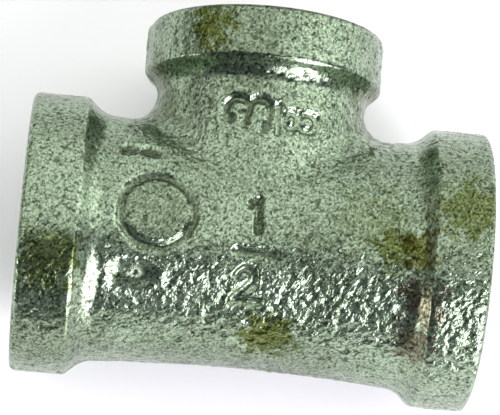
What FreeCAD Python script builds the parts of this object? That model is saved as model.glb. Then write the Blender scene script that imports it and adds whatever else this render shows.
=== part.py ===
import FreeCAD, Part

import math
import os

# Reducing tee for steel pipe, 1/2 x 1/2 x 3/8, galvanised malleable iron, banded pattern.
# The run lies along X, the branch along +Y, and the face with the cast marks looks up, +Z.
# The origin is the point where the run's axis and the branch's axis cross.
#
# The real fitting is one casting with three tapped ends. Each region of it is a closed
# solid here, and neighbouring regions meet face to face with no gap and no overlap.

V = FreeCAD.Vector

# ---- driving dimensions, mm ----
RUN_REACH = 26.4            # crossing point to each end of the run
BRANCH_REACH = 26.1         # crossing point to the end of the branch

RUN_BAND_R = 16.2
RUN_BAND_WIDTH = 6.4
RUN_SHOULDER = 1.9          # length over which the barrel rises to the band
BARREL_END_R = 14.4
BARREL_WAIST_R = 13.6       # the barrel is slightly waisted

BRANCH_BAND_R = 13.85
BRANCH_BAND_WIDTH = 6.1
BRANCH_SHOULDER = 1.4
NECK_R = 12.1
SADDLE_FILLET_R = 3.6       # blend between barrel and neck

RIM_CHAMFER = 0.65          # on each band's outer rim
SHOULDER_ROUND_R = 0.6      # where a shoulder meets its band

# Parallel 55 degree pipe threads, with crests as the tapping drill leaves them.
RUN_THREAD = {"pitch": 1.814, "crest_r": 9.5, "root_r": 10.478, "length": 12.8}
BRANCH_THREAD = {"pitch": 1.337, "crest_r": 7.6, "root_r": 8.331, "length": 11.0}
GROOVE_SHARE = 0.55         # share of the pitch that the groove takes at the crest
ROOT_SHARE = 0.12           # share of the pitch that is flat at the root
MOUTH_OVER_ROOT = 0.45      # how far the entry chamfer reaches outside the thread's root

RUN_SLEEVE_R = 12.2         # outside of the metal that carries the run's threads
BRANCH_SLEEVE_R = 9.9
RUN_CHAMBER_R = 10.9        # cored waterway between the threads
BRANCH_CHAMBER_R = 9.0
CHAMBER_FILLET_R = 1.2

NECK_SPLIT_Y = 16.5         # the neck's region starts just above the run's bands

MARK_DEPTH = 0.4            # how deep the cast marks are sunk
MARK_STROKE = 1.05
FINE_STROKE = 0.9
MARK_TALL = 30              # height of the tools that cut the marks
# Corners (x, y) of the plain dashes above the ring and of the plain pad below it.
DASH_CORNERS = [
    [(-15.9, 7.5), (-13.8, 7.4), (-13.8, 9.0), (-15.9, 9.1)],
    [(-13.4, 7.6), (-11.5, 7.6), (-11.4, 9.1), (-13.4, 9.2)],
]
PAD_CORNERS = [(-15.0, -4.9), (-11.4, -4.7), (-11.2, -7.4), (-16.0, -7.5)]
RING_CENTRE = (-11.25, 1.1)
RING_OUTER_R = 4.65
RING_STROKE = 1.1

BARREL_HALF = RUN_REACH - RUN_BAND_WIDTH - RUN_SHOULDER
NECK_TOP_Y = BRANCH_REACH - BRANCH_BAND_WIDTH - BRANCH_SHOULDER
RUN_THREAD_START = RUN_REACH - RUN_THREAD["length"]
BRANCH_THREAD_START = BRANCH_REACH - BRANCH_THREAD["length"]
WELL_OUTSIDE = 80           # larger than the whole fitting, for boxes that cut it in two
ON_SURFACE = 0.01           # an edge this near a surface lies on it

X_AXIS = V(1, 0, 0)
Y_AXIS = V(0, 1, 0)
Z_AXIS = V(0, 0, 1)


def revolve_profile(edges):
    """A solid turned about Z, from a closed outline of (radius, height) edges in the XZ plane."""
    face = Part.Face(Part.Wire(edges))
    return face.revolve(V(0, 0, 0), Z_AXIS, 360)


def outline(points):
    """Straight edges round a closed list of (radius, height) points."""
    corners = [V(r, 0, h) for r, h in points]
    return [Part.LineSegment(a, b).toShape() for a, b in zip(corners, corners[1:] + corners[:1])]


def along(shape, axis):
    """Turn a shape made about +Z so that its axis points along the given direction."""
    turned = shape.copy()
    turned.Placement = FreeCAD.Placement(V(0, 0, 0), FreeCAD.Rotation(Z_AXIS, axis)) * shape.Placement
    return turned


def only_solid(shape):
    """The one solid in a boolean's result, checked for validity."""
    solids = shape.Solids
    if len(solids) != 1 or not solids[0].isValid():
        raise ValueError(f"expected one valid solid, got {len(solids)}")
    return solids[0]


def fused(shapes):
    """Several overlapping shapes as one."""
    return shapes[0].fuse(shapes[1:]).removeSplitter()


def barrel_blank(grow=0.0):
    """The run's outside between the bands, waisted, solid all through, grown or shrunk evenly."""
    end_r = BARREL_END_R + grow
    waist_r = BARREL_WAIST_R + grow
    side = Part.Arc(V(end_r, 0, -BARREL_HALF), V(waist_r, 0, 0), V(end_r, 0, BARREL_HALF))
    edges = [
        Part.LineSegment(V(0, 0, -BARREL_HALF), V(end_r, 0, -BARREL_HALF)).toShape(),
        side.toShape(),
        Part.LineSegment(V(end_r, 0, BARREL_HALF), V(0, 0, BARREL_HALF)).toShape(),
        Part.LineSegment(V(0, 0, BARREL_HALF), V(0, 0, -BARREL_HALF)).toShape(),
    ]
    return along(revolve_profile(edges), X_AXIS)


def neck_blank(grow=0.0):
    """The branch's straight outside, from the run's axis up to its shoulder."""
    return Part.makeCylinder(NECK_R + grow, NECK_TOP_Y, V(0, 0, 0), Y_AXIS)


def crossing_edges(shape, branch_r, top):
    """The edge where a bore or wall of the branch meets the run's: it dips as it goes round."""
    found = []
    for edge in shape.Edges:
        points = edge.discretize(7)
        on_branch = all(abs(math.hypot(p.x, p.z) - branch_r) < ON_SURFACE for p in points)
        heights = [p.y for p in points]
        dips = max(heights) - min(heights) > 0.1
        if on_branch and dips and 0 < min(heights) and max(heights) < top - 1:
            found.append(edge)
    return found


def body_blank(grow=0.0):
    """Barrel and neck as one solid with a blended saddle."""
    body = barrel_blank(grow).fuse(neck_blank(grow))
    saddle = crossing_edges(body, NECK_R + grow, NECK_TOP_Y)
    return only_solid(body.makeFillet(SADDLE_FILLET_R - grow, saddle))


def chamber():
    """The cored waterway: two crossing bores with a rounded inside corner."""
    run = Part.makeCylinder(RUN_CHAMBER_R, 2 * RUN_THREAD_START, V(-RUN_THREAD_START, 0, 0), X_AXIS)
    branch = Part.makeCylinder(BRANCH_CHAMBER_R, BRANCH_THREAD_START, V(0, 0, 0), Y_AXIS)
    core = run.fuse(branch)
    corner = crossing_edges(core, BRANCH_CHAMBER_R, BRANCH_THREAD_START)
    return only_solid(core.makeFillet(CHAMBER_FILLET_R, corner))


def sleeve_blank(radius, start, end, axis):
    """A plain cylinder along an axis, from start to end as measured from the crossing point."""
    return Part.makeCylinder(radius, end - start, axis * start, axis)


def beyond_neck_split():
    """A box that takes in everything further out along the branch than the neck's foot."""
    corner = V(-WELL_OUTSIDE / 2, NECK_SPLIT_Y, -WELL_OUTSIDE / 2)
    return Part.makeBox(WELL_OUTSIDE, WELL_OUTSIDE, WELL_OUTSIDE, corner)


def make_center_body():
    """Barrel, saddle and the foot of the neck, with its marks, hollowed for water and tapped ends."""
    body = body_blank().cut(sunk_marks()).cut(chamber())
    for axis in (X_AXIS, -X_AXIS):
        body = body.cut(sleeve_blank(RUN_SLEEVE_R, RUN_THREAD_START, RUN_REACH, axis))
    body = body.cut(sleeve_blank(BRANCH_SLEEVE_R, BRANCH_THREAD_START, BRANCH_REACH, Y_AXIS))
    return only_solid(body.cut(beyond_neck_split()))


def make_neck():
    """The short straight neck between the saddle and the branch's shoulder."""
    neck = body_blank().common(beyond_neck_split())
    neck = neck.cut(sleeve_blank(BRANCH_SLEEVE_R, BRANCH_THREAD_START, BRANCH_REACH, Y_AXIS))
    return only_solid(neck)


def make_band(axis, reach, width, shoulder, radius, body_r, bore_r):
    """A reinforcing band with its shoulder: a ring from the body's end out to the rim."""
    foot = reach - width - shoulder
    ring = revolve_profile(outline([
        (bore_r, foot),
        (body_r, foot),
        (radius, foot + shoulder),
        (radius, reach - RIM_CHAMFER),
        (radius - RIM_CHAMFER, reach),
        (bore_r, reach),
    ]))
    corner = [
        e for e in ring.Edges
        if abs(e.BoundBox.XLength - 2 * radius) < ON_SURFACE
        and abs(e.CenterOfMass.z - foot - shoulder) < ON_SURFACE
    ]
    return along(only_solid(ring.makeFillet(SHOULDER_ROUND_R, corner)), axis)


def thread_groove(thread):
    """The helical groove of a right-hand thread, about +Z, running out past both ends."""
    pitch = thread["pitch"]
    depth = thread["root_r"] - thread["crest_r"]
    crest_half = GROOVE_SHARE * pitch / 2
    root_half = ROOT_SHARE * pitch / 2
    overshoot = 0.3
    mouth_half = crest_half + overshoot * (crest_half - root_half) / depth
    inner_r = thread["crest_r"] - overshoot
    corners = [
        V(inner_r, 0, -mouth_half),
        V(thread["root_r"], 0, -root_half),
        V(thread["root_r"], 0, root_half),
        V(inner_r, 0, mouth_half),
    ]
    section = Part.makePolygon(corners + corners[:1])
    turns = math.ceil(thread["length"] / pitch) + 2
    helix = Part.makeLongHelix(pitch, turns * pitch, thread["crest_r"], 0)
    groove = helix.makePipeShell([section], True, True)
    groove.translate(V(0, 0, -pitch))
    return groove


def make_thread(axis, reach, thread, sleeve_r):
    """The metal that carries one end's thread, with the entry chamfer at its mouth."""
    length = thread["length"]
    mouth_r = thread["root_r"] + MOUTH_OVER_ROOT
    blank = revolve_profile(outline([
        (thread["crest_r"], 0),
        (sleeve_r, 0),
        (sleeve_r, length),
        (mouth_r, length),
        (thread["crest_r"], length - (mouth_r - thread["crest_r"])),
    ]))
    sleeve = only_solid(blank.cut(thread_groove(thread)))
    sleeve.translate(V(0, 0, reach - length))
    return along(sleeve, axis)


def post(point, stroke):
    """A round post, which rounds the ends and corners of a stroke."""
    return Part.makeCylinder(stroke / 2, MARK_TALL, V(point[0], point[1], 0), Z_AXIS)


def straight_bar(start, end, stroke):
    """A flat-sided bar between two points of the marks' plane."""
    run = V(end[0] - start[0], end[1] - start[1], 0)
    bar = Part.makeBox(run.Length, stroke, MARK_TALL, V(0, -stroke / 2, 0))
    bar.Placement = FreeCAD.Placement(V(start[0], start[1], 0), FreeCAD.Rotation(X_AXIS, run))
    return bar


def polyline_mark(points, stroke):
    """A bar that follows straight runs, with rounded ends and corners."""
    runs = [straight_bar(a, b, stroke) for a, b in zip(points, points[1:])]
    return fused(runs + [post(p, stroke) for p in points])


def arc_point(centre, radius, degrees):
    bearing = math.radians(degrees)
    return (centre[0] + radius * math.cos(bearing), centre[1] + radius * math.sin(bearing))


def arc_mark(centre, radius, start, end, stroke):
    """A bar that follows an arc anticlockwise from one bearing to another, in degrees."""
    place = V(centre[0], centre[1], 0)
    outer = Part.makeCylinder(radius + stroke / 2, MARK_TALL, place, Z_AXIS, end - start)
    inner = Part.makeCylinder(radius - stroke / 2, MARK_TALL, place, Z_AXIS)
    bow = outer.cut(inner)
    bow.rotate(place, Z_AXIS, start)
    ends = [post(arc_point(centre, radius, bearing), stroke) for bearing in (start, end)]
    return fused([bow] + ends)


def ring_mark(centre, outer_r, stroke):
    outer = Part.makeCylinder(outer_r, MARK_TALL, V(centre[0], centre[1], 0), Z_AXIS)
    inner = Part.makeCylinder(outer_r - stroke, MARK_TALL, V(centre[0], centre[1], 0), Z_AXIS)
    return outer.cut(inner)


def plate_mark(corners):
    """A plain plate with straight sides."""
    points = [V(x, y, 0) for x, y in corners]
    return Part.Face(Part.makePolygon(points + points[:1])).extrude(V(0, 0, MARK_TALL))


def placed_mark(mark, centre, turn=0):
    """Move a mark drawn round the origin to its place, after turning it anticlockwise."""
    moved = mark.copy()
    moved.rotate(V(0, 0, 0), Z_AXIS, turn)
    moved.translate(V(centre[0], centre[1], 0))
    return moved


def digit_one():
    """Height 4.75, with a flag at the top left."""
    return polyline_mark([(-0.75, 1.15), (0.1, 1.85), (0.15, -1.85)], MARK_STROKE)


def digit_two():
    """Height 4.4: a round shoulder, a flat diagonal and a long foot."""
    centre = (-0.2, 0.75)
    radius = 0.95
    shoulder = arc_mark(centre, radius, -30, 165, MARK_STROKE)
    foot = [arc_point(centre, radius, -30), (-1.4, -1.6), (1.5, -1.65)]
    return fused([shoulder, polyline_mark(foot, MARK_STROKE)])


def digit_three():
    """Height 6: two bowls open to the left, with a long middle prong and a long lower end."""
    upper = arc_mark((0, 1.3), 1.3, -90, 150, FINE_STROKE)
    lower = arc_mark((0, -1.3), 1.3, -90, 90, FINE_STROKE)
    prong = polyline_mark([(0, 0), (-1.8, 0.4)], FINE_STROKE)
    end = polyline_mark([(0, -2.6), (-1.2, -2.5), (-2.2, -2.0)], FINE_STROKE)
    return fused([upper, lower, prong, end])


def digit_eight():
    """Height 4.7: two overlapping loops, the lower one larger."""
    return fused([ring_mark((0, 1.0), 1.25, FINE_STROKE), ring_mark((0, -0.95), 1.5, FINE_STROKE)])


def run_size_mark():
    """1/2 as a stacked fraction on the barrel."""
    bar = polyline_mark([(-1.85, -2.55), (1.85, -2.7)], MARK_STROKE)
    return [placed_mark(digit_one(), (-0.05, 1.75)), bar, placed_mark(digit_two(), (-0.6, -6.1))]


def branch_size_mark():
    """3/8 as a stacked fraction turned to read from the run's right end."""
    bar = polyline_mark([(1.45, 11.7), (1.35, 14.8)], FINE_STROKE)
    return [placed_mark(digit_three(), (-2.0, 14.1), 90), bar, placed_mark(digit_eight(), (3.95, 13.35), 90)]


def sunk_marks():
    """Every cast mark as a tool that reaches down to an even depth below the skin."""
    tools = run_size_mark() + branch_size_mark() + [plate_mark(PAD_CORNERS)]
    tools += [plate_mark(corners) for corners in DASH_CORNERS]
    tools.append(ring_mark(RING_CENTRE, RING_OUTER_R, RING_STROKE))
    floor = body_blank(-MARK_DEPTH)
    return [tool.cut(floor) for tool in tools]


def build_nodes():
    nodes = {
        "center_body": make_center_body(),
        "branch_neck": make_neck(),
        "branch_band": make_band(
            Y_AXIS, BRANCH_REACH, BRANCH_BAND_WIDTH, BRANCH_SHOULDER, BRANCH_BAND_R, NECK_R, BRANCH_SLEEVE_R
        ),
        "branch_thread": make_thread(Y_AXIS, BRANCH_REACH, BRANCH_THREAD, BRANCH_SLEEVE_R),
    }
    for side, axis in (("left", -X_AXIS), ("right", X_AXIS)):
        nodes[f"run_band_{side}"] = make_band(
            axis, RUN_REACH, RUN_BAND_WIDTH, RUN_SHOULDER, RUN_BAND_R, BARREL_END_R, RUN_SLEEVE_R
        )
        nodes[f"run_thread_{side}"] = make_thread(axis, RUN_REACH, RUN_THREAD, RUN_SLEEVE_R)
    return nodes


os.makedirs("parts", exist_ok=True)
for name, shape in build_nodes().items():
    shape.exportStep(f"parts/{name}.step")
    print(f"{name}: {len(shape.Solids)} solid, {shape.Volume:.1f} mm3, valid {shape.isValid()}")
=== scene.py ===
import math

import bpy
import numpy as np
from mathutils import Matrix, Vector, noise


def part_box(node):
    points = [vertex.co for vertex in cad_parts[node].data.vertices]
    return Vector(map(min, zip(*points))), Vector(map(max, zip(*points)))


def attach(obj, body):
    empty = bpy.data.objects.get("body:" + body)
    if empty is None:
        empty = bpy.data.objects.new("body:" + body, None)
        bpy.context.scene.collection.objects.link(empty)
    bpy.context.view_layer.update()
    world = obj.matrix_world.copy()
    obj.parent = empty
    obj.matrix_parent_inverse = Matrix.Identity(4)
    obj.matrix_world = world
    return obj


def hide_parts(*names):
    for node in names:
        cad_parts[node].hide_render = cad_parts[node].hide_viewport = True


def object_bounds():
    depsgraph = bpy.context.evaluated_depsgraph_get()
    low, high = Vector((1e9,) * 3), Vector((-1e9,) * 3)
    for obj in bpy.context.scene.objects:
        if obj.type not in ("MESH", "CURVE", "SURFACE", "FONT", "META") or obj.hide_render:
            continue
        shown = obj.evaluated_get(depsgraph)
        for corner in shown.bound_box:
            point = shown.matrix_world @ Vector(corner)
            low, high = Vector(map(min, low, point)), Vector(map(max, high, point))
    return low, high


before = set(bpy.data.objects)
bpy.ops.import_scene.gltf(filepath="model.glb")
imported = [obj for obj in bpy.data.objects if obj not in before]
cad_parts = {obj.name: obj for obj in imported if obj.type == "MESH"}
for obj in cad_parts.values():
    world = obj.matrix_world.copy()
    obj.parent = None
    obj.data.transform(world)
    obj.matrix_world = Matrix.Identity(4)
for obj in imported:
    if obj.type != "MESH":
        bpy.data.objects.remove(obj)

# A galvanised reducing tee: one rough casting with sunken marks and three tapped ends.
#
# The casting's skin is one surface. A smooth field of distances gives its shape, the relief is
# laid on it and the marks are sunk into it, and it is then cut where the CAD nodes meet. The
# threads stay the CAD's own. Shapes are worked out in millimetres and stored in metres.

cad_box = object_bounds()
MM = 0.001


def box_mm(node):
    """Lowest and highest corner of a CAD node, in millimetres."""
    low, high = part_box(node)
    return Vector(low) / MM, Vector(high) / MM


# ---- sizes that the CAD model gives, mm ----
RUN_REACH = cad_box[1].x / MM
BRANCH_REACH = cad_box[1].y / MM
FLOOR_Z = cad_box[0].z / MM
run_band_low, run_band_high = box_mm("run_band_right")
branch_band_low, branch_band_high = box_mm("branch_band")
neck_low, neck_high = box_mm("branch_neck")
run_thread_low, run_thread_high = box_mm("run_thread_right")
branch_thread_low, branch_thread_high = box_mm("branch_thread")
RUN_BAND_R = run_band_high.z
RUN_FOOT = run_band_low.x
BRANCH_BAND_R = branch_band_high.z
BRANCH_FOOT = branch_band_low.y
NECK_R = neck_high.z
NECK_SPLIT = neck_low.y
RUN_SLEEVE_R = run_thread_high.z
RUN_SLEEVE_FOOT = run_thread_low.x
BRANCH_SLEEVE_R = branch_thread_high.z
BRANCH_SLEEVE_FOOT = branch_thread_low.y

# ---- sizes of the casting that the boxes don't give, mm ----
BARREL_END_R = 14.4
BARREL_WAIST_R = 13.6
RUN_SHOULDER = 1.9
BRANCH_SHOULDER = 1.4
SADDLE_FILLET_R = 3.6
SHOULDER_FILLET_R = 2.6
BAND_ROUND_R = 1.1
RIM_ROUND_R = 0.85
RUN_CHAMBER_R = 10.9
BRANCH_CHAMBER_R = 9.0
CHAMBER_FILLET_R = 1.2
RUN_MOUTH_R = 10.93         # the threads' entry chamfers, beyond which the ends are zinc
BRANCH_MOUTH_R = 8.78

SKIN_INSET = 0.06           # the smooth skin lies this far inside, so that the relief has room
SKIN_VOXEL = 0.21
CORE_VOXEL = 0.45
MARK_DEPTH = 0.5
MARK_WANDER = 0.14          # how far the marks' edges stray
MARKED_ABOVE_Z = 3.0        # the marks lie on the front only
PIT_DEPTH = 0.09
SEED_STEP = 17.3            # how far apart the noise of two seeds is taken, in lumps
SHARP_DEGREES = 60          # edges that turn by more than this are drawn sharp
BOX_MARGIN = 0.004          # how far the skin keeps inside the CAD model's box
FAR = 60.0                  # past every side of the fitting
ZINC_RAN = (0.5, 0.75, 0.43)    # the direction along which the zinc's lumps are drawn out


# ---- distance fields, mm: negative inside ----
def round_union(a, b, radius):
    """Both shapes, with a fillet where they meet."""
    corner = np.hypot(np.maximum(radius - a, 0), np.maximum(radius - b, 0))
    return np.maximum(radius, np.minimum(a, b)) - corner


def round_common(a, b, radius):
    """What both shapes share, with its edge rounded."""
    corner = np.hypot(np.maximum(radius + a, 0), np.maximum(radius + b, 0))
    return np.minimum(-radius, np.maximum(a, b)) + corner


def blend_size(radius, cosine):
    """The blend that gives a fillet of this radius, from the cosine between the two surfaces' normals."""
    return radius * (1 - np.sqrt((1 + cosine) / 2)) / (1 - math.sqrt(0.5))


def banded(along, radius, body_r, foot, foot_r, slope, band_r):
    """A round body with a reinforcing band, which rises from it in a sloping shoulder."""
    rise = band_r - foot_r
    length = math.hypot(rise, slope)
    shoulder = (slope * (radius - foot_r) - rise * (along - foot)) / length
    band = round_common(radius - band_r, shoulder, blend_size(BAND_ROUND_R, slope / length))
    return round_union(radius - body_r, band, blend_size(SHOULDER_FILLET_R, slope / length))


def run_field(p):
    along = np.abs(p[:, 0])
    radius = np.hypot(p[:, 1], p[:, 2])
    waist = BARREL_WAIST_R + (BARREL_END_R - BARREL_WAIST_R) * (along / RUN_FOOT) ** 2
    body = banded(along, radius, waist, RUN_FOOT, BARREL_END_R, RUN_SHOULDER, RUN_BAND_R)
    return round_common(body, along - RUN_REACH, RIM_ROUND_R)


def branch_field(p):
    along = p[:, 1]
    radius = np.hypot(p[:, 0], p[:, 2])
    body = banded(along, radius, NECK_R, BRANCH_FOOT, NECK_R, BRANCH_SHOULDER, BRANCH_BAND_R)
    return np.maximum(round_common(body, along - BRANCH_REACH, RIM_ROUND_R), -along)


def saddle_radius(p):
    """The saddle's blend: full where barrel and neck stand square, and small where they run alike."""
    run_r = np.hypot(p[:, 1], p[:, 2])
    branch_r = np.hypot(p[:, 0], p[:, 2])
    alike = p[:, 2] ** 2 / np.maximum(run_r * branch_r, 1.0)
    return blend_size(SADDLE_FILLET_R, np.minimum(alike, 1))


def casting_field(p):
    return round_union(run_field(p), branch_field(p), saddle_radius(p)) + SKIN_INSET


def core_field(p):
    """The cored waterway, which runs on past both ends of the tapped lengths."""
    run = np.hypot(p[:, 1], p[:, 2]) - RUN_CHAMBER_R
    branch = np.maximum(np.hypot(p[:, 0], p[:, 2]) - BRANCH_CHAMBER_R, -p[:, 1])
    return round_union(run, branch, CHAMBER_FILLET_R)


def field_slope(field, p):
    """The field's gradient at each point."""
    step = 0.02
    slope = np.empty_like(p)
    for axis in range(3):
        offset = np.zeros(3)
        offset[axis] = step
        slope[:, axis] = (field(p + offset) - field(p - offset)) / (2 * step)
    return slope


def outward(field, p):
    """Unit normals of the field's surface."""
    slope = field_slope(field, p)
    return slope / np.maximum(np.linalg.norm(slope, axis=1), 1e-6)[:, None]


def settle(field, p, rounds=8):
    """Move points along the field's slope until they lie on its surface."""
    for _ in range(rounds):
        slope = field_slope(field, p)
        p = p - slope * (field(p) / np.maximum((slope ** 2).sum(axis=1), 0.2))[:, None]
    return p


# ---- meshes ----
def mesh_object(name, points, faces):
    mesh = bpy.data.meshes.new(name)
    mesh.from_pydata(points, [], faces)
    obj = bpy.data.objects.new(name, mesh)
    bpy.context.scene.collection.objects.link(obj)
    return obj


def turned(name, outline, axis, segments=96):
    """A closed solid turned about an axis, from its outline of rising (distance along, radius)."""
    turn = Vector((0, 0, 1)).rotation_difference(Vector(axis)).to_matrix()
    points = []
    for along, radius in outline:
        for k in range(segments):
            angle = math.tau * k / segments
            points.append(turn @ Vector((radius * math.cos(angle), radius * math.sin(angle), along)))
    faces = [tuple(reversed(range(segments)))]
    for ring in range(len(outline) - 1):
        for k in range(segments):
            a, b = ring * segments + k, ring * segments + (k + 1) % segments
            faces.append((a, b, b + segments, a + segments))
    faces.append(tuple(range((len(outline) - 1) * segments, len(outline) * segments)))
    return mesh_object(name, points, faces)


def block(name, low, high):
    corners = [(x, y, z) for x in (low[0], high[0]) for y in (low[1], high[1]) for z in (low[2], high[2])]
    faces = [(0, 1, 3, 2), (4, 6, 7, 5), (0, 4, 5, 1), (2, 3, 7, 6), (0, 2, 6, 4), (1, 5, 7, 3)]
    return mesh_object(name, corners, faces)


def apply_modifiers(obj):
    """Replace the object's mesh with what its modifiers make of it."""
    graph = bpy.context.evaluated_depsgraph_get()
    made = bpy.data.meshes.new_from_object(obj.evaluated_get(graph))
    obj.modifiers.clear()
    obj.data = made


def drop(obj):
    bpy.data.objects.remove(obj)


def boolean(obj, other, operation):
    """Cut, join or keep what is shared with another closed solid, which is left as it is."""
    step = obj.modifiers.new("cut", "BOOLEAN")
    step.operation = operation
    step.solver = "MANIFOLD"
    step.object = other
    apply_modifiers(obj)


def remeshed(parts, voxel):
    """Overlapping closed solids as one even mesh of small quads."""
    first, *rest = parts
    for other in rest:
        boolean(first, other, "UNION")
        drop(other)
    grid = first.modifiers.new("grid", "REMESH")
    grid.mode = "VOXEL"
    grid.voxel_size = voxel
    apply_modifiers(first)
    return first


def get_points(obj):
    flat = np.empty(len(obj.data.vertices) * 3, np.float32)
    obj.data.vertices.foreach_get("co", flat)
    return flat.reshape(-1, 3).astype(float)


def set_points(obj, points):
    obj.data.vertices.foreach_set("co", points.astype(np.float32).ravel())
    obj.data.update()


# ---- relief ----
def grain(points, size, seed, stretch=1.0):
    """Smooth noise from -1 to 1 whose lumps are about this size, drawn out the way the zinc ran."""
    direction = np.array(Vector(ZINC_RAN).normalized())
    q = points + np.outer(points @ direction, direction) * (1 / stretch - 1)
    q = q / size + seed * SEED_STEP
    return np.array([noise.noise(row) for row in q.tolist()])


def smooth_step(low, high, value):
    t = np.clip((value - low) / (high - low), 0, 1)
    return t * t * (3 - 2 * t)


def to_segment(xy, start, end):
    """Distance from each point to a straight stroke."""
    start, end = np.array(start, float), np.array(end, float)
    run = end - start
    t = np.clip(((xy - start) @ run) / (run @ run), 0, 1)
    return np.linalg.norm(xy - start - t[:, None] * run, axis=1)


def to_path(xy, corners):
    return np.min([to_segment(xy, a, b) for a, b in zip(corners, corners[1:])], axis=0)


def arc_corners(centre, radius, start, end, count=14):
    """Points along an arc, anticlockwise between two bearings in degrees."""
    bearings = np.radians(np.linspace(start, end, count))
    return [(centre[0] + radius * math.cos(b), centre[1] + radius * math.sin(b)) for b in bearings]


def moved(corners, centre, turn=0):
    """Turn drawn corners anticlockwise about the origin, then shift them."""
    c, s = math.cos(math.radians(turn)), math.sin(math.radians(turn))
    return [(centre[0] + c * x - s * y, centre[1] + s * x + c * y) for x, y in corners]


# The marks' centre lines, seen square on to the marked face. The numerals are drawn upright round
# (0, 0); those of the branch are turned on their side when they are placed.
ONE = [(-0.75, 1.15), (0.1, 1.85), (0.15, -1.85)]
TWO = arc_corners((-0.2, 0.75), 0.95, 165, -30) + [(-1.4, -1.6), (1.5, -1.65)]
THREE = [
    *arc_corners((0, 1.3), 1.3, 150, -90), *arc_corners((0, -1.3), 1.3, 90, -90)[1:],
    (-1.2, -2.5), (-2.2, -2.0),
]
THREE_PRONG = [(0, 0), (-1.8, 0.4)]
EIGHT_TOP = arc_corners((0, 1.0), 0.8, 0, 360, 24)
EIGHT_LOW = arc_corners((0, -0.95), 1.05, 0, 360, 24)
ONE_PLACE, TWO_PLACE = (-0.05, 1.75), (-0.6, -6.1)
THREE_PLACE, EIGHT_PLACE = (-2.0, 14.1), (3.95, 13.35)
RUN_BAR = [(-1.85, -2.55), (1.85, -2.7)]
BRANCH_BAR = [(1.45, 11.7), (1.35, 14.8)]

RING_CENTRE = (-11.25, 1.1)
RING_R = 4.1
DASHES = [[(-15.2, 8.3), (-14.5, 8.3)], [(-12.9, 8.4), (-12.0, 8.2)]]
PAD = [(-14.6, -6.1), (-12.3, -6.0)]

# Each mark: its centre lines, half the width of its bottom, its sloping wall, and how dark its bottom is
# painted, partly soiling and partly painted shade in the hollow.
MARKS = [
    ([moved(ONE, ONE_PLACE)], 0.38, 0.34, 1.0),
    ([RUN_BAR], 0.48, 0.40, 0.35),
    ([moved(TWO, TWO_PLACE)], 0.36, 0.34, 0.35),
    ([moved(THREE, THREE_PLACE, 90), moved(THREE_PRONG, THREE_PLACE, 90)], 0.32, 0.40, 0.75),
    ([BRANCH_BAR], 0.30, 0.36, 0.2),
    ([moved(EIGHT_TOP, EIGHT_PLACE, 90), moved(EIGHT_LOW, EIGHT_PLACE, 90)], 0.32, 0.34, 0.2),
    ([arc_corners(RING_CENTRE, RING_R, 0, 360, 48)], 0.32, 0.50, 0.7),
    (DASHES, 0.60, 0.35, 0.8),
    ([PAD], 0.85, 1.10, 0.5),
]


def mark_fill(points):
    """How far into a sunken mark each point lies, 1 at its bottom, and how dark it is painted there:
    soiling and painted shade in the hollow.
    """
    front = points[:, 2] > MARKED_ABOVE_Z
    wander = np.stack([grain(points[front], 1.6, 3), grain(points[front], 1.6, 4)], axis=1)
    xy = points[front, :2] + MARK_WANDER * wander
    fill, mark_soil_and_shade = np.zeros(len(points)), np.zeros(len(points))
    for paths, half, slope, soil_and_shade_share in MARKS:
        distance = np.min([to_path(xy, path) for path in paths], axis=0)
        share = 1 - smooth_step(half - slope / 2, half + slope, distance)
        fill[front] = np.maximum(fill[front], share)
        mark_soil_and_shade[front] = np.maximum(mark_soil_and_shade[front], soil_and_shade_share * smooth_step(0.5, 1.0, share))
    return fill, mark_soil_and_shade


def parting_height(points):
    """The ground-off seam of the two half moulds, in the plane of both axes."""
    seam = np.exp(-((points[:, 2] + 0.25 * grain(points, 9.0, 6)) / 0.45) ** 2)
    return seam * np.clip(0.10 + 0.22 * grain(points, 5.0, 7), 0, 0.22)


def waves(points):
    """The dipped casting's slow unevenness, mm."""
    return 0.10 * grain(points, 7.5, 1) + 0.05 * grain(points, 3.2, 2)


def dimples(points):
    """The small lumps of frozen zinc where they are strongest, mm."""
    return 0.075 * grain(points, 0.95, 8, 1.5) + 0.075 * grain(points, 0.55, 9, 1.4)


def pit_depth(points):
    """0 to 1 in the small gas pits, which crowd together in patches."""
    crowd = 0.06 * grain(points, 5.0, 11)
    return smooth_step(0.36, 0.66, grain(points, 0.75, 10) + crowd)


def store_state(obj, soil_and_shade, lumps):
    """Keep two values from 0 to 1 on the mesh for the material: soiling and painted shade in red, lumpiness
    in green.
    """
    layer = obj.data.color_attributes.new("state", "FLOAT_COLOR", "POINT")
    zero = np.zeros(len(soil_and_shade))
    colours = np.clip(np.stack([soil_and_shade, lumps, zero, zero + 1], axis=1), 0, 1)
    layer.data.foreach_set("color", colours.astype(np.float32).ravel())


def faced(points):
    """1 on the three ends, which are faced flat, and 0 on the cast skin."""
    run = smooth_step(-0.30, -0.05, np.abs(points[:, 0]) - RUN_REACH + SKIN_INSET)
    branch = smooth_step(-0.30, -0.05, points[:, 1] - BRANCH_REACH + SKIN_INSET)
    return np.maximum(run, branch)


def pooled(points):
    """1 round the feet and edges of the bands, where the zinc ran smooth, and 0 elsewhere."""
    run = np.abs(np.abs(points[:, 0]) - RUN_FOOT - RUN_SHOULDER / 2)
    branch = np.abs(points[:, 1] - BRANCH_FOOT - BRANCH_SHOULDER / 2)
    reach = np.minimum(run, branch) + 0.5 * grain(points, 1.6, 12)
    return 1 - smooth_step(1.3, 2.4, reach)


def lumpiness(points):
    """How strong the zinc's small dimples are, from 0 up: strongest towards the right end."""
    return (1 - 0.75 * pooled(points)) * (0.55 + 0.60 * smooth_step(-20, 14, points[:, 0]))


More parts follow.
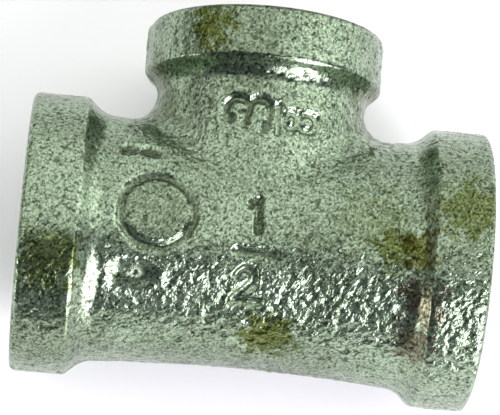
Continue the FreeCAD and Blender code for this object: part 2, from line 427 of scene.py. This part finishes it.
def rim_dark_reflection(points):
    """1 on the turned-over edge of the branch's band, where a dark reflection is painted."""
    outer = np.hypot(points[:, 0], points[:, 2]) - BRANCH_BAND_R
    return smooth_step(-0.60, -0.35, points[:, 1] - BRANCH_REACH) * smooth_step(-1.6, -0.9, outer)


def make_skin():
    """The whole outside of the casting, without its bores, as one closed rough mesh."""
    run = turned("skin", [
        (-RUN_REACH, RUN_BAND_R), (-RUN_FOOT - RUN_SHOULDER, RUN_BAND_R), (-RUN_FOOT, BARREL_END_R),
        (0, BARREL_WAIST_R),
        (RUN_FOOT, BARREL_END_R), (RUN_FOOT + RUN_SHOULDER, RUN_BAND_R), (RUN_REACH, RUN_BAND_R),
    ], (1, 0, 0))
    branch = turned("skin_branch", [
        (0, NECK_R), (BRANCH_FOOT, NECK_R), (BRANCH_FOOT + BRANCH_SHOULDER, BRANCH_BAND_R),
        (BRANCH_REACH, BRANCH_BAND_R),
    ], (0, 1, 0))
    skin = remeshed([run, branch], SKIN_VOXEL)
    points = settle(casting_field, get_points(skin))
    normals = outward(casting_field, points)
    fill, mark_soil_and_shade = mark_fill(points)
    pits = pit_depth(points)
    lumps = lumpiness(points) * (1 - 0.8 * fill)
    height = waves(points) + dimples(points) * lumps + parting_height(points) - PIT_DEPTH * pits
    sunk = MARK_DEPTH * fill * (0.85 + 0.25 * grain(points, 2.2, 5))
    height = height * (1 - 0.92 * faced(points)) - sunk
    points = points + normals * height[:, None]
    # The pits and the marks' bottoms are painted dark, partly soiling and partly painted shade in these
    # hollows; the branch band's rim gets a painted dark reflection.
    store_state(skin, 0.8 * pits + mark_soil_and_shade + 0.9 * rim_dark_reflection(points), lumps)
    low, high = np.array(cad_box[0]) / MM, np.array(cad_box[1]) / MM
    set_points(skin, np.clip(points, low + BOX_MARGIN, high - BOX_MARGIN))
    return skin


def make_core():
    """The waterway with its cast roughness, cut off by the tapped ends."""
    long_run = 2 * RUN_SLEEVE_FOOT + 4
    run_core = [(-long_run / 2, RUN_CHAMBER_R), (long_run / 2, RUN_CHAMBER_R)]
    branch_core = [(0, BRANCH_CHAMBER_R), (BRANCH_SLEEVE_FOOT + 2, BRANCH_CHAMBER_R)]
    parts = [turned("core", run_core, (1, 0, 0)), turned("core_branch", branch_core, (0, 1, 0))]
    core = remeshed(parts, CORE_VOXEL)
    points = get_points(core)
    ends_off = 0.5
    side = np.abs(points[:, 0]) < long_run / 2 - ends_off
    side &= points[:, 1] < BRANCH_SLEEVE_FOOT + 2 - ends_off
    wall = settle(core_field, points[side])
    rough = 0.16 * grain(wall, 2.4, 21) + 0.07 * grain(wall, 1.0, 22)
    points[side] = wall + outward(core_field, wall) * rough[:, None]
    set_points(core, points)
    return core


def sleeve_seats():
    """Cylinders that the three tapped sleeves fill, from their inner ends to past the rims."""
    run_seat = [(RUN_SLEEVE_FOOT, RUN_SLEEVE_R), (RUN_REACH + 2, RUN_SLEEVE_R)]
    branch_seat = [(BRANCH_SLEEVE_FOOT, BRANCH_SLEEVE_R), (BRANCH_REACH + 2, BRANCH_SLEEVE_R)]
    return [
        turned("seat_right", run_seat, (1, 0, 0)),
        turned("seat_left", run_seat, (-1, 0, 0)),
        turned("seat_branch", branch_seat, (0, 1, 0)),
    ]


# Each piece's name, the CAD node it replaces, and the box that cuts it from the casting.
REGIONS = {
    "cast_body": ("center_body", (-RUN_FOOT, -FAR, -FAR), (RUN_FOOT, NECK_SPLIT, FAR)),
    "cast_neck": ("branch_neck", (-RUN_FOOT, NECK_SPLIT, -FAR), (RUN_FOOT, BRANCH_FOOT, FAR)),
    "cast_branch_band": ("branch_band", (-RUN_FOOT, BRANCH_FOOT, -FAR), (RUN_FOOT, FAR, FAR)),
    "cast_left_band": ("run_band_left", (-FAR, -FAR, -FAR), (-RUN_FOOT, FAR, FAR)),
    "cast_right_band": ("run_band_right", (RUN_FOOT, -FAR, -FAR), (FAR, FAR, FAR)),
}


def match_skin(piece, whole):
    """Give a piece's outside the uncut casting's normals and state, so that no seam shows."""
    step = piece.modifiers.new("match", "DATA_TRANSFER")
    step.object = whole
    step.use_vert_data = True
    step.data_types_verts = {"COLOR_VERTEX"}
    step.vert_mapping = "POLYINTERP_NEAREST"
    step.use_loop_data = True
    step.data_types_loops = {"CUSTOM_NORMAL"}
    step.loop_mapping = "POLYINTERP_NEAREST"
    step.use_max_distance = True
    step.max_distance = 0.01
    apply_modifiers(piece)


def cut_regions(skin):
    """Hollow the casting and cut it where the CAD nodes meet, one closed piece for each."""
    skin.data.shade_smooth()
    whole = bpy.data.objects.new("whole", skin.data.copy())
    bpy.context.scene.collection.objects.link(whole)
    for tool in [make_core(), *sleeve_seats()]:
        boolean(skin, tool, "DIFFERENCE")
        drop(tool)
    pieces = {}
    for name, (_, low, high) in REGIONS.items():
        piece = bpy.data.objects.new(name, skin.data.copy())
        bpy.context.scene.collection.objects.link(piece)
        region = block("region", low, high)
        boolean(piece, region, "INTERSECT")
        drop(region)
        piece.data.set_sharp_from_angle(angle=math.radians(SHARP_DEGREES))
        match_skin(piece, whole)
        piece.data.name = name
        pieces[name] = piece
    drop(skin)
    drop(whole)
    return pieces


# ---- materials ----
class Nodes:
    """Short calls for building a node tree."""

    def __init__(self, tree):
        self.tree = tree

    def add(self, kind, **settings):
        node = self.tree.nodes.new(kind)
        for key, value in settings.items():
            setattr(node, key, value)
        return node

    def feed(self, socket, value):
        """Link an output to a socket, or set it to a plain value."""
        if isinstance(value, bpy.types.NodeSocket):
            self.tree.links.new(value, socket)
        else:
            socket.default_value = value

    def math(self, operation, a, b):
        node = self.add("ShaderNodeMath", operation=operation)
        self.feed(node.inputs[0], a)
        self.feed(node.inputs[1], b)
        return node.outputs[0]

    def ramp(self, value, low, high, to_low=0.0, to_high=1.0):
        """A smooth step between two values of the input."""
        node = self.add("ShaderNodeMapRange", interpolation_type="SMOOTHSTEP")
        for socket, item in zip(node.inputs, (value, low, high, to_low, to_high)):
            self.feed(socket, item)
        return node.outputs[0]

    def mix(self, share, a, b, blend="MIX"):
        """A colour between two colours, or as far as the share goes, another blend of them."""
        node = self.add("ShaderNodeMix", data_type="RGBA", blend_type=blend)
        self.feed(node.inputs["Factor"], share)
        self.feed(node.inputs[6], a)
        self.feed(node.inputs[7], b)
        return node.outputs[2]

    def along(self, vector, direction):
        """How far a vector points along a direction."""
        node = self.add("ShaderNodeVectorMath", operation="DOT_PRODUCT")
        self.feed(node.inputs[0], vector)
        node.inputs[1].default_value = Vector(direction).normalized()
        return node.outputs["Value"]


class Material(Nodes):
    """A material of one principled shader."""

    def __init__(self, name):
        self.material = bpy.data.materials.new(name)
        self.material.use_nodes = True
        super().__init__(self.material.node_tree)
        self.tree.nodes.clear()
        self.place = self.add("ShaderNodeTexCoord").outputs["Object"]

    def stretched(self, size_mm, stretch=1.0, seed=0.0):
        """Coordinates whose unit is the given size, drawn out along the direction that the zinc ran."""
        node = self.add("ShaderNodeMapping", vector_type="TEXTURE")
        self.feed(node.inputs["Vector"], self.place)
        node.inputs["Location"].default_value = (seed * 0.013, seed * 0.007, seed * 0.011)
        node.inputs["Rotation"].default_value = Vector(ZINC_RAN).to_track_quat("X", "Z").to_euler()
        size = size_mm * MM
        node.inputs["Scale"].default_value = (size * stretch, size, size)
        return node.outputs[0]

    def clouds(self, size_mm, detail=2.0, rough=0.5, stretch=1.0, seed=0.0):
        node = self.add("ShaderNodeTexNoise")
        self.feed(node.inputs["Vector"], self.stretched(size_mm, stretch, seed))
        node.inputs["Scale"].default_value = 1.0
        node.inputs["Detail"].default_value = detail
        node.inputs["Roughness"].default_value = rough
        return node.outputs["Fac"]

    def state(self):
        """Soiling with painted shade and a painted dark reflection, and lumpiness, as kept on the mesh."""
        split = self.add("ShaderNodeSeparateColor")
        self.feed(split.inputs[0], self.add("ShaderNodeAttribute", attribute_name="state").outputs["Color"])
        return split.outputs[0], split.outputs[1]

    def from_axis(self, axis):
        """Distance from an axis through the origin, mm."""
        across = self.add("ShaderNodeVectorMath", operation="MULTIPLY")
        self.feed(across.inputs[0], self.place)
        across.inputs[1].default_value = [(1 - part) / MM for part in axis]
        length = self.add("ShaderNodeVectorMath", operation="LENGTH")
        self.feed(length.inputs[0], across.outputs[0])
        return length.outputs["Value"]

    def near(self, centre_mm, reach_mm, ragged):
        """1 near a point of the object and 0 beyond its reach, with a ragged edge."""
        node = self.add("ShaderNodeVectorMath", operation="DISTANCE")
        self.feed(node.inputs[0], self.place)
        node.inputs[1].default_value = Vector(centre_mm) * MM
        reach = reach_mm * MM
        uneven = self.ramp(ragged, 0.25, 0.75, -0.5 * reach, 0.5 * reach)
        distance = self.math("ADD", node.outputs["Value"], uneven)
        return self.ramp(distance, reach * 0.5, reach * 1.2, 1.0, 0.0)

    def bump(self, height, depth_mm, base=None):
        """A normal bent by the height, whose range from 0 to 1 stands for this depth."""
        node = self.add("ShaderNodeBump")
        self.feed(node.inputs["Height"], self.math("MULTIPLY", height, depth_mm))
        node.inputs["Distance"].default_value = MM
        if base is not None:
            self.feed(node.inputs["Normal"], base)
        return node.outputs["Normal"]

    def finish(self, colour, roughness, metallic, normal, glow=0.0):
        """Connect the shader and give the finished material."""
        shader = self.add("ShaderNodeBsdfPrincipled")
        self.feed(shader.inputs["Base Color"], colour)
        self.feed(shader.inputs["Roughness"], roughness)
        self.feed(shader.inputs["Metallic"], metallic)
        self.feed(shader.inputs["Normal"], normal)
        self.feed(shader.inputs["Emission Strength"], glow)
        output = self.add("ShaderNodeOutputMaterial")
        self.tree.links.new(shader.outputs[0], output.inputs["Surface"])
        return self.material


IRON_LIGHT = (0.34, 0.34, 0.33, 1)
IRON_DARK = (0.22, 0.22, 0.21, 1)
FLOOR_WHITE = (0.97, 0.97, 0.97, 1)
FLOOR_GREY = (0.93, 0.93, 0.93, 1)
ZINC_LIGHT = (0.36, 0.46, 0.325, 1)
ZINC_DULL = (0.16, 0.22, 0.14, 1)
ZINC_DARK = (0.022, 0.030, 0.010, 1)
# Tints, which multiply the zinc's colour.
OLIVE = (0.39, 0.39, 0.07, 1)
BROWN = (0.42, 0.34, 0.07, 1)
SOIL_AND_SHADE_TINT = (0.66, 0.66, 0.62, 1)
SHADED = (0.42, 0.42, 0.28, 1)
MAUVE = (0.56, 0.38, 0.36, 1)

# Old flux, rust and soiling, and patches of painted shade and painted dark reflection: centre and reach in
# mm, tint, and how solid it is.
STAINS_AND_SHADE = [
    ((-6.95, 23.5, 12.0), 2.9, OLIVE, 1.0),
    ((-22.9, -6.0, 15.0), 4.2, OLIVE, 0.8),
    ((23.2, 4.6, 15.4), 3.9, OLIVE, 0.85),
    ((18.3, -0.9, 14.6), 2.4, BROWN, 1.0),
    ((15.3, -0.9, 13.9), 2.8, OLIVE, 0.9),
    ((12.6, 2.4, 13.6), 4.6, OLIVE, 0.35),
    ((2.2, -11.2, 8.3), 3.7, OLIVE, 1.0),
    # painted shade: the right band's top darker
    ((24.5, 5.0, 14.0), 12.0, SOIL_AND_SHADE_TINT, 0.5),
    # soiling inside the ring
    ((-11.2, 0.8, 13.7), 4.6, SOIL_AND_SHADE_TINT, 0.9),
    # the right shoulder: a stain with a painted warm, dull reflection
    ((19.0, -6.0, 13.0), 3.0, MAUVE, 1.0),
    ((18.8, -10.0, 10.0), 3.0, MAUVE, 1.0),
    # painted shade in the saddle corners
    ((12.5, 17.5, 3.0), 5.0, SHADED, 0.9),
    ((-12.5, 15.5, 4.0), 5.0, SHADED, 0.8),
    # painted dark reflection across the middle of the barrel
    ((7.5, -2.2, 13.5), 4.5, SOIL_AND_SHADE_TINT, 0.7),
    # the middle of the branch band made darker
    ((-3.0, 22.8, 13.0), 6.0, SOIL_AND_SHADE_TINT, 0.8),
    # painted shadow under the branch band
    ((-3.5, 18.4, 12.0), 3.5, SOIL_AND_SHADE_TINT, 0.9),
    # painted shade along the underside, where the floor is reflected
    ((-22.0, -13.0, 7.0), 7.5, SOIL_AND_SHADE_TINT, 1.0),
    ((-6.0, -13.0, 4.0), 7.5, SOIL_AND_SHADE_TINT, 0.8),
    ((6.0, -13.5, 4.0), 7.5, SOIL_AND_SHADE_TINT, 0.8),
]


def zinc_look(n):
    """Colour and roughness of grey-green zinc with dark specks; its pits and marks darkened, partly soiling
    and partly painted shade; stains; and patches of painted shade and painted dark reflection.
    """
    bloom = n.clouds(3.2, 4.0, 0.6, 1.2, 1)
    speckle = n.clouds(0.28, 3.0, 0.65, 1.3, 2)
    tone = n.math("ADD", speckle, n.ramp(bloom, 0.3, 0.7, 0.04, -0.04))
    colour = n.mix(n.ramp(tone, 0.36, 0.64), ZINC_LIGHT, ZINC_DULL)
    dots = n.ramp(n.clouds(0.36, 3.0, 0.6, 1.0, 3), 0.53, 0.61, 0.0, 0.85)
    soil_and_shade, _ = n.state()
    patchy = n.math("MULTIPLY", soil_and_shade, n.ramp(speckle, 0.3, 0.6, 0.7, 1.0))
    # The pits, the marks' bottoms and the branch band's rim go dark: soiling and painted shade in the
    # hollows, and a painted dark reflection on the rim.
    colour = n.mix(n.math("MAXIMUM", dots, patchy), colour, ZINC_DARK)
    ragged = n.clouds(1.3, 4.0, 0.6, 1.0, 4)
    # Real stains, and patches of painted shade and painted dark reflection, tint the zinc.
    for centre, reach, tint, solid in STAINS_AND_SHADE:
        thin = n.ramp(speckle, 0.3, 0.6, 0.7 * solid, solid)
        cover = n.math("MULTIPLY", n.near(centre, reach, ragged), thin)
        colour = n.mix(cover, colour, tint, "MULTIPLY")
    return colour, n.ramp(n.clouds(0.9, 3.0, 0.6, 1.0, 5), 0.3, 0.7, 0.15, 0.27)


def zinc_relief(n):
    """Dimples finer than the mesh, as deep as the casting is lumpy there, and a fine tooth."""
    _, lumps = n.state()
    dimples = n.bump(n.clouds(0.50, 2.0, 0.6, 1.4, 7), n.math("MULTIPLY", lumps, 0.14))
    return n.bump(n.clouds(0.18, 2.0, 0.6, 1.0, 6), 0.01, dimples)


def zinc_material():
    n = Material("galvanised_zinc")
    colour, roughness = zinc_look(n)
    return n.finish(colour, roughness, 0.9, zinc_relief(n))


def thread_material(name, axis, mouth_r):
    """Cut thread, bare iron with fine tool marks, inside an end face that is zinc."""
    n = Material(name)
    dull = n.clouds(1.6, 4.0, 0.6, 1.0, 11)
    iron = n.mix(n.ramp(dull, 0.35, 0.65), IRON_DARK, IRON_LIGHT)
    zinc, zinc_roughness = zinc_look(n)
    coated = n.ramp(n.from_axis(axis), mouth_r - 0.08, mouth_r + 0.04)
    colour = n.mix(coated, iron, zinc)
    roughness = n.math("MAXIMUM", zinc_roughness, n.ramp(coated, 0.0, 1.0, 0.38, 0.0))
    return n.finish(colour, roughness, 0.95, n.bump(n.clouds(0.2, 3.0, 0.6, 3.0, 12), 0.015))


def floor_material():
    """A plain pale sheet with a hardly visible tooth, and a faint glow of its own: painted light that lifts
    the shadows on it.
    """
    n = Material("pale_floor")
    tooth = n.clouds(0.8, 3.0, 0.5, 1.0, 13)
    colour = n.mix(tooth, FLOOR_GREY, FLOOR_WHITE)
    return n.finish(colour, n.ramp(tooth, 0.3, 0.7, 0.75, 0.9), 0.0, n.bump(tooth, 0.006), 0.07)


# ---- stage, light and camera ----
FLOOR_REACH = 6.0           # m, to each side
# The camera in the frame's axes: place in mm, and turns about Z, Y and X in radians.
CAMERA_PLACE = (-16.453, -57.721, 304.586)
CAMERA_TURNS = (-0.09494, 0.05187, -0.20391)
CAMERA_LENS = 192.63
# The room's colours. The dark ones are on the side away from the branch.
CEILING = (1.0, 1.0, 1.0, 1)
WALL = (0.22, 0.21, 0.18, 1)
SKIRTING = (0.62, 0.62, 0.62, 1)
RIGHT_GLOW = (1.7, 1.7, 1.7, 1)
DARK_HIGH = (0.06, 0.08, 0.09, 1)
DARK_LOW = (0.26, 0.29, 0.28, 1)
ROOM_STRENGTH = 1.4


def make_floor():
    z = FLOOR_Z * MM
    corners = [(x * FLOOR_REACH, y * FLOOR_REACH, z) for x, y in ((-1, -1), (1, -1), (1, 1), (-1, 1))]
    floor = mesh_object("floor", corners, [(0, 1, 2, 3)])
    floor.data.materials.append(floor_material())


def make_world():
    """A pale room, with walls dimmer than the skirting, and dark on the side away from the branch."""
    world = bpy.data.worlds.new("studio")
    bpy.context.scene.world = world
    world.use_nodes = True
    n = Nodes(world.node_tree)
    way = n.add("ShaderNodeTexCoord").outputs["Generated"]
    height = n.along(way, (0, 0, 1))
    high = n.ramp(n.along(way, (0.20, 0.10, 0.97)), 0.08, 0.45)
    room = n.mix(high, WALL, CEILING)
    room = n.mix(n.ramp(height, 0.13, 0.09), room, SKIRTING)
    room = n.mix(n.ramp(n.along(way, (0.85, 0.10, 0.50)), 0.72, 0.98), room, RIGHT_GLOW)
    dark = n.mix(n.ramp(height, 0.02, 0.35), DARK_LOW, DARK_HIGH)
    lit = n.ramp(n.along(way, (-0.12, 0.97, 0.15)), -0.20, 0.18)
    back = world.node_tree.nodes["Background"]
    n.feed(back.inputs["Color"], n.mix(lit, dark, room))
    back.inputs["Strength"].default_value = ROOM_STRENGTH


def area_light(name, place, size, power, tint):
    """A rectangular lamp that faces the fitting and stays out of sight: metres and watts."""
    lamp = bpy.data.lights.new(name, "AREA")
    lamp.color = tint
    lamp.shape = "RECTANGLE"
    lamp.size, lamp.size_y = size
    lamp.energy = power
    obj = bpy.data.objects.new(name, lamp)
    bpy.context.scene.collection.objects.link(obj)
    obj.location = place
    obj.rotation_mode = "QUATERNION"
    obj.rotation_quaternion = (-Vector(place)).to_track_quat("-Z", "Y")
    obj.visible_camera = False


def make_lights():
    area_light("window", (0.35, -0.43, 0.26), (0.42, 0.56), 6.1, (1.0, 0.93, 1.06))
    area_light("left_card", (-0.50, -0.23, 0.035), (0.14, 0.08), 0.3, (1.0, 1.0, 1.0))


def make_camera():
    """The photograph's view: nearly square on to the marked face, a little from below and left."""
    camera = bpy.data.cameras.new("camera")
    camera.sensor_width = 36.0
    camera.lens = CAMERA_LENS
    camera.clip_start, camera.clip_end = 0.01, 20.0
    obj = bpy.data.objects.new("camera", camera)
    bpy.context.scene.collection.objects.link(obj)
    about_z, about_y, about_x = [Matrix.Rotation(a, 3, axis) for a, axis in zip(CAMERA_TURNS, "ZYX")]
    turn = about_z @ about_y @ about_x
    obj.rotation_mode = "QUATERNION"
    obj.rotation_quaternion = turn.transposed().to_quaternion()
    obj.location = Vector(CAMERA_PLACE) * MM
    bpy.context.scene.camera = obj


def finish_piece(obj, material, node):
    """Store a piece in metres and tie it to the frame."""
    obj.data.transform(Matrix.Scale(MM, 4))
    obj.data.materials.clear()
    obj.data.materials.append(material)
    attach(obj, "root")
    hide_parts(node)


def make_casting():
    zinc = zinc_material()
    for name, piece in cut_regions(make_skin()).items():
        finish_piece(piece, zinc, REGIONS[name][0])


def dress_threads():
    """The CAD's threads keep their shape and get a real material."""
    run = thread_material("cut_run_thread", (1, 0, 0), RUN_MOUTH_R)
    branch = thread_material("cut_branch_thread", (0, 1, 0), BRANCH_MOUTH_R)
    for name, material in (("run_thread_left", run), ("run_thread_right", run), ("branch_thread", branch)):
        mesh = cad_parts[name].data
        mesh.materials.clear()
        mesh.materials.append(material)


bpy.context.scene.view_settings.view_transform = "Standard"
make_casting()
dress_threads()
make_floor()
make_world()
make_lights()
make_camera()
